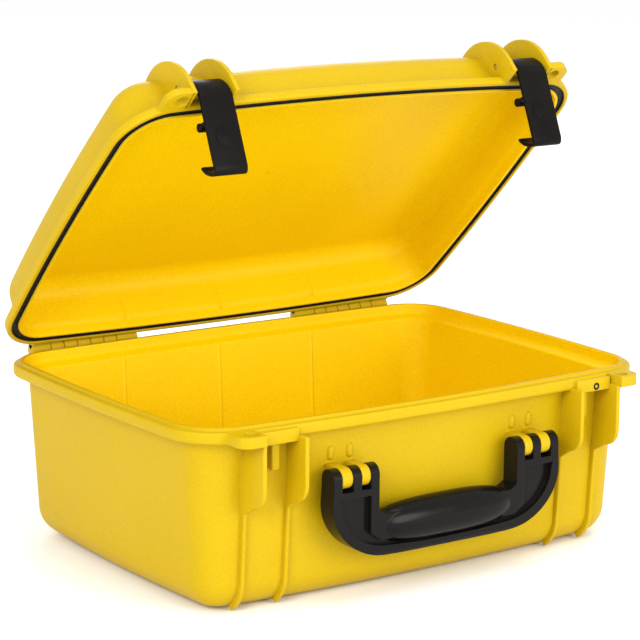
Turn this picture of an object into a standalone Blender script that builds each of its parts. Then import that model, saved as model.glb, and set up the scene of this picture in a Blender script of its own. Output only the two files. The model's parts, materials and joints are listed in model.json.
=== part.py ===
"""Hard carrying case with a hinged lid, two draw latches and a swinging handle.

The origin is the middle of the flat underside, +Z is up, +X runs along the front to the right,
and the front faces -Y. Everything is in metres. The lid stands partly open.
"""

import math

import bmesh
import bpy
from mathutils import Matrix, Vector

# Driving dimensions. The rim line is the line that the lid seal follows round the case.
RIM_HALF_X = 0.175
RIM_HALF_Y = 0.1228
RIM_CORNER = 0.0265
MIN_CORNER = 0.009
BOW_X = 0.0041
BOW_FRONT = 0.0072
BOW_BACK = 0.0040
PARTING_Z = 0.122
LID_HEIGHT = 0.0405
WALL = 0.0035
FLANGE_OUT = 0.0055
DRAFT_TOP = 0.0047
DRAFT_FOOT = 0.0098
BOTTOM_ROUND = 0.022
LID_ROUND = 0.018
GAP = 0.0003

HINGE_Y = 0.1363
HINGE_OUTER = 0.1516
HINGE_INNER = 0.0676
KNUCKLE_FIRST = 0.1370
KNUCKLE_PITCH = 0.01046
KNUCKLE_COUNT = 5
KNUCKLE_RADIUS = 0.0043
HINGE_PIN_RADIUS = 0.0015
LID_OPEN = math.radians(44.5)

BAY_OUTER = 0.1413
BAY_INNER = 0.11025
FIN_THICKNESS = 0.003
FIN_FRONT = -0.1431
FIN_FOOT = 0.070
RIB_PROUD = 0.003
KEEPER_FRONT = -0.1357
KEEPER_TOP = PARTING_Z - 0.0035
KEEPER_FOOT = PARTING_Z - 0.0105
KEEPER_HALF = 0.008

LATCH_HALF = 0.013
LATCH_PIN_Y = -0.1317
LATCH_PIN_Z = PARTING_Z + 0.0147
LATCH_PIN_RADIUS = 0.0016
LATCH_SHEET = 0.0024
LATCH_FACE = 0.0167
LATCH_FOOT = -0.0605
LATCH_REST = math.radians(-22.0)
EAR_Y, EAR_Z = -0.1130, PARTING_Z + 0.0094
EAR_RADIUS = 0.0330

TAB_X = 0.1475
TAB_Y = -0.1375
TAB_FRONT = -0.1455
TAB_SIDE = 0.159
TAB_CORNER = 0.0085
TAB_HOLE = 0.0046

HANDLE_PIVOT_Y = -0.1358
HANDLE_PIVOT_Z = PARTING_Z - 0.0388
HANDLE_RADIUS = 0.007
HANDLE_EARS = (0.0585, 0.0721, 0.0869)
HANDLE_EAR_HALF = 0.0031
HANDLE_FOOT = PARTING_Z - 0.094
HANDLE_PIN_RADIUS = 0.002
GRIP_Z = PARTING_Z - 0.074
GRIP_SIZE = (0.054, 0.0118, 0.0142)

VENT_X = 0.1278
VENT_Z = PARTING_Z - 0.0072

SIDES = (("left", -1), ("right", 1))


def clear_scene():
    for obj in list(bpy.data.objects):
        bpy.data.objects.remove(obj, do_unlink=True)


def collection(name):
    made = bpy.data.collections.new(name)
    bpy.context.scene.collection.children.link(made)
    return made


def material(name, colour, roughness, metallic=0.0):
    made = bpy.data.materials.new(name)
    made.use_nodes = True
    shader = made.node_tree.nodes["Principled BSDF"]
    shader.inputs["Base Color"].default_value = (*colour, 1.0)
    shader.inputs["Roughness"].default_value = roughness
    shader.inputs["Metallic"].default_value = metallic
    return made


clear_scene()
PARTS = collection("carrying_case")
CUTTERS = collection("cutters")
YELLOW = material("yellow_shell", (0.86, 0.50, 0.01), 0.45)
BLACK = material("black_plastic", (0.02, 0.02, 0.02), 0.40)
RUBBER = material("seal_rubber", (0.015, 0.015, 0.015), 0.70)
STEEL = material("pin_steel", (0.55, 0.55, 0.56), 0.30, 1.0)


def part(name, mesh, finish):
    """A visible piece. Its mesh is smooth, with sharp edges where faces meet steeply."""
    obj = bpy.data.objects.new(name, mesh)
    PARTS.objects.link(obj)
    mesh.materials.append(finish)
    mesh.shade_smooth()
    mesh.set_sharp_from_angle(angle=math.radians(35))
    return obj


def tool(name, mesh):
    """A helper shape that is only joined to or cut from a piece."""
    obj = bpy.data.objects.new(name, mesh)
    CUTTERS.objects.link(obj)
    obj.hide_render = True
    obj.display_type = "WIRE"
    return obj


def boolean(target, helper, operation):
    step = target.modifiers.new(f"{operation.lower()}_{helper.name}", "BOOLEAN")
    step.object = helper
    step.operation = operation
    step.solver = "EXACT"
    step.use_self = operation == "UNION"


# Shell rings


def front_line(x, offset):
    """Y of the front wall at x, where the wall stands offset outside the rim line."""
    return -(RIM_HALF_Y + offset + BOW_FRONT * (1 - (x / RIM_HALF_X) ** 2))


def back_line(x, offset):
    """Y of the back wall at x, where the wall stands offset outside the rim line."""
    return RIM_HALF_Y + offset + BOW_BACK * (1 - (x / RIM_HALF_X) ** 2)


def ring(offset, z):
    """A rounded rectangle with slightly bowed sides, offset outside the rim line."""
    half_x, half_y = RIM_HALF_X + offset, RIM_HALF_Y + offset
    corner = max(RIM_CORNER + offset, MIN_CORNER)
    flat = []
    for quarter, (sx, sy) in enumerate(((1, 1), (-1, 1), (-1, -1), (1, -1))):
        for step in range(8):
            angle = math.radians(90 * quarter + 90 * step / 7)
            flat.append((sx * (half_x - corner) + corner * math.cos(angle),
                         sy * (half_y - corner) + corner * math.sin(angle)))
    points = []
    for (x0, y0), (x1, y1) in zip(flat, flat[1:] + flat[:1]):
        pieces = 6 if math.hypot(x1 - x0, y1 - y0) > 0.05 else 1
        for k in range(pieces):
            x, y = x0 + (x1 - x0) * k / pieces, y0 + (y1 - y0) * k / pieces
            bow = BOW_FRONT if y < 0 else BOW_BACK
            points.append(Vector((x + x / half_x * BOW_X * (1 - (y / half_y) ** 2),
                                  y + y / half_y * bow * (1 - (x / half_x) ** 2), z)))
    return points


def loft(name, profile, capped):
    """Skins the rings of a profile of (offset, z). Capped ends close it, or it runs round to its start."""
    bm = bmesh.new()
    rings = [[bm.verts.new(p) for p in ring(offset, z)] for offset, z in profile]
    pairs = list(zip(rings, rings[1:]))
    if capped:
        bm.faces.new(rings[0])
        bm.faces.new(rings[-1])
    else:
        pairs.append((rings[-1], rings[0]))
    for low, high in pairs:
        for a, b, c, d in zip(low, low[1:] + low[:1], high[1:] + high[:1], high):
            bm.faces.new((a, b, c, d))
    bmesh.ops.recalc_face_normals(bm, faces=bm.faces)
    mesh = bpy.data.meshes.new(name)
    bm.to_mesh(mesh)
    bm.free()
    return mesh


def rounding(centre, radius, down, steps=5):
    """(offset, z) points of a quarter round from an upright wall to a flat top or bottom."""
    turn = -1 if down else 1
    angles = (math.pi / 2 * k / steps for k in range(steps + 1))
    return [(centre[0] + radius * math.cos(a), centre[1] + turn * radius * math.sin(a)) for a in angles]


# Shapes from outlines, boxes and cylinders

PLANES = {
    "YZ": Matrix(((0, 0, 1), (1, 0, 0), (0, 1, 0))).to_4x4(),
    "XZ": Matrix(((1, 0, 0), (0, 0, -1), (0, 1, 0))).to_4x4(),
    "XY": Matrix.Identity(4),
}


def extruded(name, outlines, low, high, plane):
    """A filled outline in the plane, from low to high along the third axis. More outlines are holes."""
    curve = bpy.data.curves.new(name, "CURVE")
    curve.dimensions = "2D"
    curve.fill_mode = "BOTH"
    curve.extrude = (high - low) / 2
    for outline in outlines:
        spline = curve.splines.new("POLY")
        spline.points.add(len(outline) - 1)
        for point, (u, v) in zip(spline.points, outline):
            point.co = (u, v, 0, 1)
        spline.use_cyclic_u = True
    drawn = bpy.data.objects.new(name, curve)
    CUTTERS.objects.link(drawn)
    bpy.context.view_layer.update()
    mesh = bpy.data.meshes.new_from_object(drawn.evaluated_get(bpy.context.evaluated_depsgraph_get()))
    bpy.data.objects.remove(drawn)
    third = Vector((0, 0, (low + high) / 2))
    if plane == "XZ":
        third.z = -third.z
    mesh.transform(PLANES[plane] @ Matrix.Translation(third))
    bm = bmesh.new()
    bm.from_mesh(mesh)
    bmesh.ops.remove_doubles(bm, verts=bm.verts, dist=1e-6)
    bmesh.ops.recalc_face_normals(bm, faces=bm.faces)
    bm.to_mesh(mesh)
    bm.free()
    return mesh


def arc(centre, radius, start, end, steps):
    """Points on a circle between two angles in degrees."""
    turns = (math.radians(start + (end - start) * k / steps) for k in range(steps + 1))
    return [(centre[0] + radius * math.cos(t), centre[1] + radius * math.sin(t)) for t in turns]


def ribbon(middle, widths):
    """The outline of a bent strip, from its middle line and its width at each point."""
    near, far = [], []
    for k, (u, v) in enumerate(middle):
        before, after = middle[max(k - 1, 0)], middle[min(k + 1, len(middle) - 1)]
        along = Vector((after[0] - before[0], after[1] - before[1])).normalized()
        across = Vector((-along.y, along.x)) * widths[k] / 2
        near.append((u + across.x, v + across.y))
        far.append((u - across.x, v - across.y))
    return near + far[::-1]


def box(low, high):
    bm = bmesh.new()
    bmesh.ops.create_cube(bm, size=1)
    size = Vector(high) - Vector(low)
    middle = (Vector(high) + Vector(low)) / 2
    bmesh.ops.transform(bm, matrix=Matrix.Translation(middle) @ Matrix.Diagonal((*size, 1)), verts=bm.verts)
    mesh = bpy.data.meshes.new("box")
    bm.to_mesh(mesh)
    bm.free()
    return mesh


def rod(radius, low, high, centre, axis="X", sides=16):
    """A cylinder along X or Y from low to high, with its axis through centre."""
    bm = bmesh.new()
    bmesh.ops.create_cone(bm, cap_ends=True, segments=sides, radius1=radius, radius2=radius, depth=high - low)
    turn = Matrix.Rotation(math.pi / 2, 4, "Y" if axis == "X" else "X")
    place = ((low + high) / 2, *centre) if axis == "X" else (centre[0], (low + high) / 2, centre[1])
    bmesh.ops.transform(bm, matrix=Matrix.Translation(place) @ turn, verts=bm.verts)
    mesh = bpy.data.meshes.new("rod")
    bm.to_mesh(mesh)
    bm.free()
    return mesh


def joined(name, meshes):
    """Several closed shapes as one mesh, used as one helper."""
    bm = bmesh.new()
    for mesh in meshes:
        bm.from_mesh(mesh)
    mesh = bpy.data.meshes.new(name)
    bm.to_mesh(mesh)
    bm.free()
    return mesh


# Hinge knuckles


def knuckle_spans(side, of_lid):
    """X spans of the knuckles on one side. The lid owns the two long ends and every second short one."""
    edges = [KNUCKLE_FIRST - KNUCKLE_PITCH * k for k in range(KNUCKLE_COUNT + 1)]
    edges = [HINGE_OUTER, *edges, HINGE_INNER]
    spans = [(edges[k + 1] + GAP, edges[k] - GAP) for k in range(len(edges) - 1)]
    picked = spans[0::2] if of_lid else spans[1::2]
    return [tuple(sorted((side * low, side * high))) for low, high in picked]


def knuckles(of_lid):
    shapes = []
    for _, side in SIDES:
        for low, high in knuckle_spans(side, of_lid):
            z_low, z_high = (0.0004, 0.0058) if of_lid else (-0.0078, -0.0006)
            root = back_line(max(abs(low), abs(high)), 0.0035)
            shapes.append(rod(KNUCKLE_RADIUS, low, high, (HINGE_Y, PARTING_Z)))
            shapes.append(box((low, root, PARTING_Z + z_low), (high, HINGE_Y, PARTING_Z + z_high)))
    return joined("knuckles", shapes)


def hinge_bores(radius):
    return joined("hinge_bores", [
        rod(radius, *sorted((side * (HINGE_INNER - 0.002), side * (HINGE_OUTER + 0.002))),
            (HINGE_Y, PARTING_Z), sides=12)
        for _, side in SIDES
    ])


# Base


def wall_offset(z):
    """How far outside the rim line the drafted base wall stands at height z above the underside."""
    top, foot = PARTING_Z - 0.012, BOTTOM_ROUND
    return -DRAFT_TOP - (DRAFT_FOOT - DRAFT_TOP) * (top - z) / (top - foot)


def base_shell():
    top = PARTING_Z
    centre = (-DRAFT_FOOT - BOTTOM_ROUND, BOTTOM_ROUND)
    outer = [(0.0012, top + 0.0016), (0.0017, top + 0.0011), (0.0017, top - 0.0004), (0.0046, top - 0.0004),
             (FLANGE_OUT, top - 0.0013), (FLANGE_OUT, top - 0.0068), (0.0043, top - 0.0082),
             (-0.0036, top - 0.0086), (-DRAFT_TOP, top - 0.012)]
    outer += rounding(centre, BOTTOM_ROUND, down=True)
    inner = [(-0.0012, top + 0.0016), (-0.0018, top + 0.0010), (-0.0022, top - 0.0055),
             (-DRAFT_TOP - WALL, top - 0.0085)]
    inner += rounding(centre, BOTTOM_ROUND - WALL, down=True)
    shell = part("base_shell", loft("base_shell", outer[::-1] + inner, capped=True), YELLOW)
    boolean(shell, tool("base_additions", joined("base_additions", base_additions())), "UNION")
    boolean(shell, tool("base_cuts", joined("base_cuts", base_cuts())), "DIFFERENCE")
    return shell


def fin_outline(x):
    """Side outline of one fin: a tall blade beside the latch, then a low rib down to a small foot."""
    blade_top = PARTING_Z - 0.0070
    reach = BOTTOM_ROUND + RIB_PROUD
    inside = [(front_line(x, wall_offset(z)) + WALL / 2, z) for z in (blade_top, 0.06, BOTTOM_ROUND)]
    last = math.asin(BOTTOM_ROUND / reach)
    centre = front_line(x, -DRAFT_FOOT) + BOTTOM_ROUND
    foot = [(centre - reach * math.cos(last * k / 4), BOTTOM_ROUND - reach * math.sin(last * k / 4))
            for k in range(5)]
    rib_top = (front_line(x, wall_offset(FIN_FOOT)) - RIB_PROUD, FIN_FOOT - 0.004)
    blade = [(FIN_FRONT, blade_top),
             *arc((FIN_FRONT + 0.007, FIN_FOOT + 0.007), 0.007, 180, 270, 4), rib_top]
    mid_wall = BOTTOM_ROUND - WALL / 2
    back = [(centre - mid_wall * math.cos(a), BOTTOM_ROUND - mid_wall * math.sin(a))
            for a in (math.radians(62), math.radians(30))]
    return blade + foot + back + inside[::-1]


def base_additions():
    shapes = []
    for _, side in SIDES:
        for x in (BAY_OUTER, BAY_INNER):
            shapes.append(extruded("fin", [fin_outline(x)], side * x - FIN_THICKNESS / 2,
                                   side * x + FIN_THICKNESS / 2, "YZ"))
        middle = side * (BAY_OUTER + BAY_INNER) / 2
        wall = front_line(middle, -DRAFT_TOP) + WALL / 2
        shapes.append(box((middle - KEEPER_HALF, KEEPER_FRONT, KEEPER_FOOT),
                          (middle + KEEPER_HALF, wall, KEEPER_TOP)))
        shapes.append(box((middle - 0.003, wall - 0.0085, PARTING_Z - 0.029),
                          (middle + 0.003, wall, KEEPER_FOOT + 0.001)))
        shapes.append(tab(side, PARTING_Z - 0.0078, PARTING_Z - 0.0008))
        for low_ear, high_ear in zip(HANDLE_EARS, HANDLE_EARS[1:]):
            low, high = low_ear + HANDLE_EAR_HALF + GAP, high_ear - HANDLE_EAR_HALF - GAP
            lug = HANDLE_RADIUS - 0.0002
            back = front_line(low_ear, wall_offset(HANDLE_PIVOT_Z)) + WALL / 2
            outline = [(back, HANDLE_PIVOT_Z - lug),
                       *arc((HANDLE_PIVOT_Y, HANDLE_PIVOT_Z), lug, 270, 90, 8), (back, HANDLE_PIVOT_Z + lug)]
            shapes.append(extruded("lug", [outline], *sorted((side * low, side * high)), "YZ"))
    shapes.append(knuckles(of_lid=False))
    return shapes


def tab(side, low, high):
    """A padlock tab: a lobe with a round corner that widens the flange outside the outer fin."""
    corner = arc((TAB_SIDE - TAB_CORNER, TAB_FRONT + TAB_CORNER), TAB_CORNER, 270, 360, 6)
    fillet = arc((TAB_SIDE + 0.003, TAB_FRONT + 0.0158), 0.003, 180, 90, 4)
    outline = [(BAY_OUTER, front_line(BAY_OUTER, 0.0036)), (BAY_OUTER, TAB_FRONT), *corner, *fillet]
    outline += [(TAB_SIDE + 0.003, -0.1250), (0.150, front_line(0.150, 0.0036))]
    return extruded("tab", [[(side * x, y) for x, y in outline]], low, high, "XY")


def base_cuts():
    shapes = [hinge_bores(HINGE_PIN_RADIUS + GAP)]
    for _, side in SIDES:
        shapes.append(upright_hole(side, PARTING_Z - 0.012, PARTING_Z + 0.002))
        low, high = sorted((side * (HANDLE_EARS[0] - 0.008), side * (HANDLE_EARS[-1] + 0.008)))
        shapes.append(rod(HANDLE_PIN_RADIUS + GAP, low, high, (HANDLE_PIVOT_Y, HANDLE_PIVOT_Z), sides=12))
    shapes.append(rod(0.0030, KEEPER_FRONT - 0.002, KEEPER_FRONT + 0.0048, (VENT_X, VENT_Z), "Y"))
    return shapes


def upright_hole(side, low, high):
    return extruded("hole", [arc((side * TAB_X, TAB_Y), TAB_HOLE, 0, 345, 23)], low, high, "XY")


# Lid, modelled shut


def lid_shell():
    top = PARTING_Z
    centre = (-0.0049 - LID_ROUND, top + LID_HEIGHT - LID_ROUND)
    outer = [(0.0030, top), (0.0047, top), (FLANGE_OUT, top + 0.0008), (FLANGE_OUT, top + 0.0052),
             (0.0045, top + 0.0062), (-0.0012, top + 0.0064), (-0.0028, top + 0.0080),
             (-0.0031, top + 0.0100)]
    outer += rounding(centre, LID_ROUND, down=False)
    inner = [(0.0024, top), (0.0024, top + 0.0044), (-0.0024, top + 0.0044), (-0.0024, top), (-0.0042, top),
             (-0.0048, top + 0.0008), (-0.0052, top + 0.0060), (-0.0066, top + 0.0090)]
    inner += rounding(centre, LID_ROUND - WALL, down=False)
    shell = part("lid_shell", loft("lid_shell", outer[::-1] + inner, capped=True), YELLOW)
    boolean(shell, tool("lid_additions", joined("lid_additions", lid_additions())), "UNION")
    boolean(shell, tool("lid_cuts", joined("lid_cuts", lid_cuts())), "DIFFERENCE")
    return shell


def ear_outline(x):
    """Side outline of one round ear that holds the latch pin in front of the lid wall."""
    wall, z = front_line(x, 0.0), PARTING_Z
    dome = arc((EAR_Y, EAR_Z), EAR_RADIUS, 180, 68, 12)
    into_wall = [(dome[-1][0], z + 0.0388), (wall + 0.0148, z + 0.0366), (wall + 0.0088, z + 0.0306),
                 (wall + 0.0067, z + 0.0225), (wall + 0.0055, z + 0.0180), (wall + 0.0048, z + 0.0080),
                 (wall + 0.0040, z + 0.0054)]
    return dome + into_wall + [(wall - 0.0038, z + 0.0054), (wall - 0.0038, z + GAP), (dome[0][0], z + GAP)]


def lid_additions():
    shapes = []
    for _, side in SIDES:
        for x in (BAY_OUTER, BAY_INNER):
            shapes.append(extruded("ear", [ear_outline(x)], side * x - FIN_THICKNESS / 2,
                                   side * x + FIN_THICKNESS / 2, "YZ"))
        shapes.append(tab(side, PARTING_Z + GAP, PARTING_Z + 0.0050))
    shapes.append(knuckles(of_lid=True))
    return shapes


def lid_cuts():
    shapes = [hinge_bores(HINGE_PIN_RADIUS + GAP)]
    for _, side in SIDES:
        shapes.append(upright_hole(side, PARTING_Z - 0.002, PARTING_Z + 0.007))
        low, high = sorted((side * (BAY_INNER - 0.0017), side * (BAY_OUTER + 0.0017)))
        shapes.append(rod(LATCH_PIN_RADIUS + GAP, low, high, (LATCH_PIN_Y, LATCH_PIN_Z), sides=12))
    return shapes


def lid_seal():
    top = PARTING_Z
    profile = [(-0.0017, top + 0.0026), (-0.0011, top + 0.0020), (0.0011, top + 0.0020), (0.0017, top + 0.0026),
               (0.0017, top + 0.0041), (-0.0017, top + 0.0041)]
    return part("lid_seal", loft("lid_seal", profile, capped=False), RUBBER)


# Latches, modelled hanging straight down from their pins


def latch(name, middle):
    y, z = LATCH_PIN_Y, LATCH_PIN_Z
    face = y - LATCH_FACE + LATCH_SHEET / 2
    strip = [(y, z + 0.0033), (y - 0.0052, z + 0.0024), (y - 0.0098, z - 0.0004), (y - 0.0134, z - 0.0046),
             (face, z - 0.0100), (face, z - 0.0300), (face, z + LATCH_FOOT + 0.0040),
             (face + 0.0013, z + LATCH_FOOT + 0.0014), (y - 0.0105, z + LATCH_FOOT + 0.0022),
             (y - 0.0045, z + LATCH_FOOT + 0.0052), (y - 0.0002, z + LATCH_FOOT + 0.0088)]
    widths = [LATCH_SHEET] * 8 + [0.0024, 0.0020, 0.0015]
    low, high = middle - LATCH_HALF, middle + LATCH_HALF
    piece = part(name, extruded(name, [ribbon(strip, widths)], low, high, "YZ"), BLACK)
    bulb = (y - 0.0060, z - 0.0276)
    stem = ribbon([(face + 0.0004, bulb[1] + 0.0012), (bulb[0], bulb[1] + 0.0003)], [0.0026, 0.0022])
    shapes = [rod(0.0045, low, high, (y, z)), extruded("stem", [stem], low + 0.0003, high - 0.0003, "YZ"),
              rod(0.0027, low + 0.0002, high - 0.0002, bulb, sides=12)]
    boolean(piece, tool(name + "_hook", joined("hook", shapes)), "UNION")
    bore = rod(LATCH_PIN_RADIUS + GAP, low - 0.001, high + 0.001, (y, z), sides=12)
    boolean(piece, tool(name + "_bore", bore), "DIFFERENCE")
    return piece


# Handle, modelled hanging straight down


def handle_outline():
    """Front outline of the handle: two arms and the bar that joins them."""
    bar = [(0.0, HANDLE_FOOT), (0.022, HANDLE_FOOT + 0.0003), (0.045, HANDLE_FOOT + 0.0015)]
    elbow_x, elbow_z = 0.0485, 0.0375
    bend = [(0.045 + elbow_x * math.sin(math.radians(9 * k)),
             HANDLE_FOOT + 0.0015 + elbow_z * (1 - math.cos(math.radians(9 * k)))) for k in range(1, 11)]
    outer, inner = HANDLE_EARS[-1] + HANDLE_EAR_HALF, HANDLE_EARS[0] - HANDLE_EAR_HALF
    top = HANDLE_PIVOT_Z + HANDLE_RADIUS
    arm = [(outer, HANDLE_PIVOT_Z - 0.004), (outer, top), (inner, top), (inner, GRIP_Z + 0.012),
           (inner - 0.005, GRIP_Z + 0.009), (0.0, GRIP_Z + 0.008)]
    right = bar + bend + arm
    return right + [(-x, z) for x, z in right[-2:0:-1]]


def handle():
    piece = part("handle", extruded("handle", [handle_outline()], HANDLE_PIVOT_Y - HANDLE_RADIUS,
                                    HANDLE_PIVOT_Y + HANDLE_RADIUS, "XZ"), BLACK)
    y, z, r = HANDLE_PIVOT_Y, HANDLE_PIVOT_Z, HANDLE_RADIUS
    side_view = arc((y, z), r, 0, 180, 10)
    side_view += [(y - r, HANDLE_FOOT + 0.004), (y - r + 0.004, HANDLE_FOOT - 0.001),
                  (y + r - 0.004, HANDLE_FOOT - 0.001), (y + r, HANDLE_FOOT + 0.004)]
    reach = HANDLE_EARS[-1] + 0.02
    boolean(piece, tool("handle_side", extruded("side", [side_view], -reach, reach, "YZ")), "INTERSECT")
    boolean(piece, tool("handle_grip", grip()), "UNION")
    slots = []
    for _, side in SIDES:
        for low_ear, high_ear in zip(HANDLE_EARS, HANDLE_EARS[1:]):
            low, high = sorted((side * (low_ear + HANDLE_EAR_HALF), side * (high_ear - HANDLE_EAR_HALF)))
            slots.append(box((low, y - 0.02, z - r - 0.0012), (high, y + 0.02, z + 0.02)))
    boolean(piece, tool("handle_slots", joined("slots", slots)), "DIFFERENCE")
    bores = []
    for _, side in SIDES:
        low, high = sorted((side * (HANDLE_EARS[0] - 0.006), side * (HANDLE_EARS[-1] + 0.006)))
        bores.append(rod(HANDLE_PIN_RADIUS + GAP, low, high, (y, z), sides=12))
    boolean(piece, tool("handle_bores", joined("bores", bores)), "DIFFERENCE")
    return piece


def grip():
    """A ball stretched along X and filled out towards its ends."""
    bm = bmesh.new()
    bmesh.ops.create_uvsphere(bm, u_segments=20, v_segments=12, radius=1)
    bmesh.ops.transform(bm, matrix=Matrix.Rotation(math.pi / 2, 4, "Y"), verts=bm.verts)
    for vert in bm.verts:
        along = min(abs(vert.co.x), 0.999)
        fullness = (1 - along ** 3) ** (1 / 3) / math.sqrt(1 - along ** 2)
        vert.co.y *= fullness
        vert.co.z *= fullness
    place = Matrix.Translation((0, HANDLE_PIVOT_Y, GRIP_Z)) @ Matrix.Diagonal((*GRIP_SIZE, 1))
    bmesh.ops.transform(bm, matrix=place, verts=bm.verts)
    mesh = bpy.data.meshes.new("grip")
    bm.to_mesh(mesh)
    bm.free()
    return mesh


# Assembly


def pivot(name, y, z, angle=0.0, parent=None):
    """An empty on a joint axis. A positive angle swings the hung part out towards the front."""
    empty = bpy.data.objects.new(name, None)
    PARTS.objects.link(empty)
    empty.location = (0, y, z)
    if parent:
        empty.parent = parent
        empty.location = (0, y - parent["axis_y"], z - parent["axis_z"])
    empty["axis_y"], empty["axis_z"] = y, z
    empty.rotation_euler = (-angle, 0, 0)
    return empty


def hang(pieces, empty):
    """Moves the pieces' origins onto the axis, with the helpers that shape them, and parents them to it."""
    shift = Matrix.Translation((0, -empty["axis_y"], -empty["axis_z"]))
    for piece in pieces:
        for obj in [piece] + [step.object for step in piece.modifiers if step.type == "BOOLEAN"]:
            obj.data.transform(shift)
            obj.parent = empty


def pins_and_vent():
    for name, side in SIDES:
        low, high = sorted((side * HINGE_INNER, side * HINGE_OUTER))
        hinge_pin = rod(HINGE_PIN_RADIUS, low, high, (HINGE_Y, PARTING_Z), sides=12)
        part(f"hinge_pin_{name}", hinge_pin, STEEL)
        low, high = sorted((side * (HANDLE_EARS[0] - HANDLE_EAR_HALF),
                            side * (HANDLE_EARS[-1] + HANDLE_EAR_HALF)))
        handle_pin = rod(HANDLE_PIN_RADIUS, low, high, (HANDLE_PIVOT_Y, HANDLE_PIVOT_Z), sides=12)
        part(f"handle_pin_{name}", handle_pin, STEEL)

    front, back = KEEPER_FRONT, KEEPER_FRONT + 0.0040
    vent_seal = part("vent_seal", rod(0.0027, front - 0.0004, back, (VENT_X, VENT_Z), "Y"), RUBBER)
    bore = rod(0.0015, front - 0.003, back + 0.002, (VENT_X, VENT_Z), "Y", sides=12)
    boolean(vent_seal, tool("vent_bore", bore), "DIFFERENCE")
    part("vent_plug", rod(0.0012, front - 0.0002, back, (VENT_X, VENT_Z), "Y", sides=12), YELLOW)


def main():
    base_shell()
    pins_and_vent()
    lid_hinge = pivot("lid_hinge", HINGE_Y, PARTING_Z, LID_OPEN)
    hang([lid_shell(), lid_seal()], lid_hinge)
    for name, side in SIDES:
        middle = side * (BAY_OUTER + BAY_INNER) / 2
        span = (BAY_OUTER - BAY_INNER) / 2 + FIN_THICKNESS / 2
        latch_pivot = pivot(f"latch_pivot_{name}", LATCH_PIN_Y, LATCH_PIN_Z, LATCH_REST, lid_hinge)
        pin = rod(LATCH_PIN_RADIUS, middle - span, middle + span, (LATCH_PIN_Y, LATCH_PIN_Z), sides=12)
        pin = part(f"latch_pin_{name}", pin, STEEL)
        hang([latch(f"latch_{name}", middle), pin], latch_pivot)

    hang([handle()], pivot("handle_pivot", HANDLE_PIVOT_Y, HANDLE_PIVOT_Z))


main()
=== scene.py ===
"""Looks of the hard carrying case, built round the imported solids.

The frame's origin is the middle of the flat underside, +Z is up and the front faces -Y. Lengths are in
metres. Pieces of the lid are modelled on the shut lid, then turned open about the hinge.
"""

import json
import math

import bmesh
import bpy
from mathutils import Matrix, Vector


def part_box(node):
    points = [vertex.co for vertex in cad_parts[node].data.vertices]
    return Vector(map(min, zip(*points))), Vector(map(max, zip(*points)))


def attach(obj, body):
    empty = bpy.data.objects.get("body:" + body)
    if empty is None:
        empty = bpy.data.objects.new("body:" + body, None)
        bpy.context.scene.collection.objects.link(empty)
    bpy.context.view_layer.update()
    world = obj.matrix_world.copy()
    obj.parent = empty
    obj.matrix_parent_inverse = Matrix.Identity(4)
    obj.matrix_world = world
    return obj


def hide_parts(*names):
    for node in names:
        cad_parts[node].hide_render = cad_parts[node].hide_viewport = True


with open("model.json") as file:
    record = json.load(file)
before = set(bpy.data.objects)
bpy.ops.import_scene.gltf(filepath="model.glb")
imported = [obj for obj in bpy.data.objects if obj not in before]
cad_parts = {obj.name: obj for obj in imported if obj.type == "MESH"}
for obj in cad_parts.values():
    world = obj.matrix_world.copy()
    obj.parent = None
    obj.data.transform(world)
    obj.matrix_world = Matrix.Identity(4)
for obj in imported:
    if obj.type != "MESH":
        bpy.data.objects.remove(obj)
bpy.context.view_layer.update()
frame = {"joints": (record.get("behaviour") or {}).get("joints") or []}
JOINTS = {joint["name"]: joint for joint in frame["joints"]}
SIDES = (("left", -1), ("right", 1))

# Places taken from the frame
HINGE_Y, PARTING_Z = JOINTS["lid_hinge"]["pos_m"][1:]
LID_OPEN = -math.radians(JOINTS["lid_hinge"]["range_deg"][0])
HANDLE_Y, HANDLE_Z = JOINTS["handle_swing"]["pos_m"][1:]
OPEN_LID = (Matrix.Translation((0, HINGE_Y, PARTING_Z)) @ Matrix.Rotation(-LID_OPEN, 4, "X")
            @ Matrix.Translation((0, -HINGE_Y, -PARTING_Z)))
LATCH_X = JOINTS["latch_right_swing"]["pos_m"][0]
_, LATCH_Y, LATCH_Z = OPEN_LID.inverted() @ Vector(JOINTS["latch_right_swing"]["pos_m"])
LATCH_HALF = 0.0119
LATCH_TURN = math.radians(22.5)

# The rim line is the line that the seal follows round the case
FLANGE_OUT = 0.0055
BOW_X, BOW_FRONT, BOW_BACK = 0.0041, 0.0072, 0.0040
RIM_HALF_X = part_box("base_shell")[1].x - FLANGE_OUT - BOW_X
RIM_HALF_Y = 0.1228
RIM_CORNER, MIN_CORNER = 0.0265, 0.009
LID_HEIGHT = 0.0405
WALL = 0.0035
DRAFT_TOP, DRAFT_FOOT = 0.0047, 0.0098
BOTTOM_ROUND, LID_ROUND = 0.022, 0.018

BAY_OUTER, BAY_INNER = 0.1413, 0.11025
FIN_THICKNESS = 0.003
FIN_FRONT, FIN_FOOT, BLADE_ROUND = -0.1431, 0.070, 0.0125
RIB_PROUD = 0.003
KEEPER_FRONT, KEEPER_FOOT, KEEPER_TOP = -0.1357, PARTING_Z - 0.0105, PARTING_Z - 0.0020
STEM_HALF, STEM_INWARD = 0.003, 0.002
EAR_Y, EAR_Z, EAR_RADIUS = -0.1130, PARTING_Z + 0.0094, 0.0330
TAB_X, TAB_Y, TAB_HOLE = 0.1475, -0.1375, 0.0046
TAB_FRONT, TAB_SIDE, TAB_CORNER = -0.1455, 0.159, 0.0085
HANDLE_EARS, HANDLE_EAR_HALF = (0.0585, 0.0721, 0.0869), 0.0031
HANDLE_RADIUS = 0.007
HANDLE_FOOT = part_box("handle")[0].z
GRIP_Z, GRIP_SIZE = PARTING_Z - 0.074, (0.054, 0.0118, 0.0142)
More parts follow.
